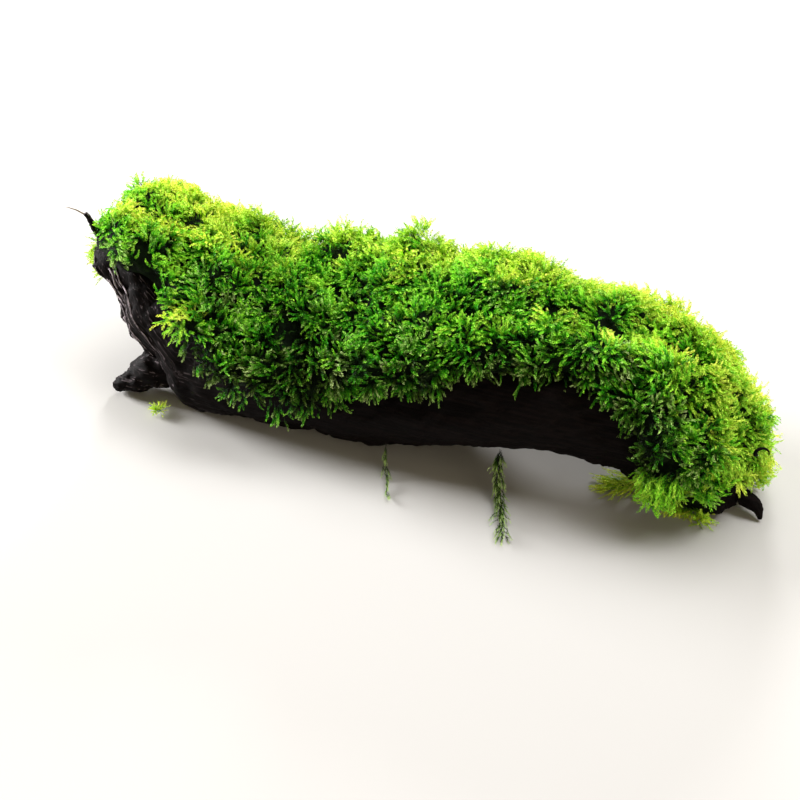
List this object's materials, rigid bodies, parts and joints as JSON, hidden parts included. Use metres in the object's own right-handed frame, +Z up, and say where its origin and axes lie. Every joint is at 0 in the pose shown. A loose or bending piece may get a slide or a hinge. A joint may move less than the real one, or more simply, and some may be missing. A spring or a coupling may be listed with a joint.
{
  "type": "moss clump",
  "caption": "Feathery green moss grown as one cushioned mat over an arched piece of dark driftwood that lies free on its belly, a root and its bent end.",
  "frame": {"origin": "on the floor under the middle of the whole object, seen from above", "axes": "+X along the log from its broken, raised end to its bent end, +Y to the back, where the moss reaches lowest, +Z up"},
  "size_m": [0.2564, 0.0962, 0.0734],
  "materials": {
    "driftwood": "dark, weathered and damp",
    "moss": "matte and feathery",
    "trailing_moss": "matte and wispy"
  },
  "bodies": {
    "root": {"driftwood_trunk": "driftwood", "driftwood_root_foot": "driftwood", "driftwood_hook_stub": "driftwood", "driftwood_snag": "driftwood", "moss_mat": "moss", "moss_foot_tuft": "moss", "moss_strand_left": "trailing_moss", "moss_strand_right": "trailing_moss"}
  },
  "joints": []
}
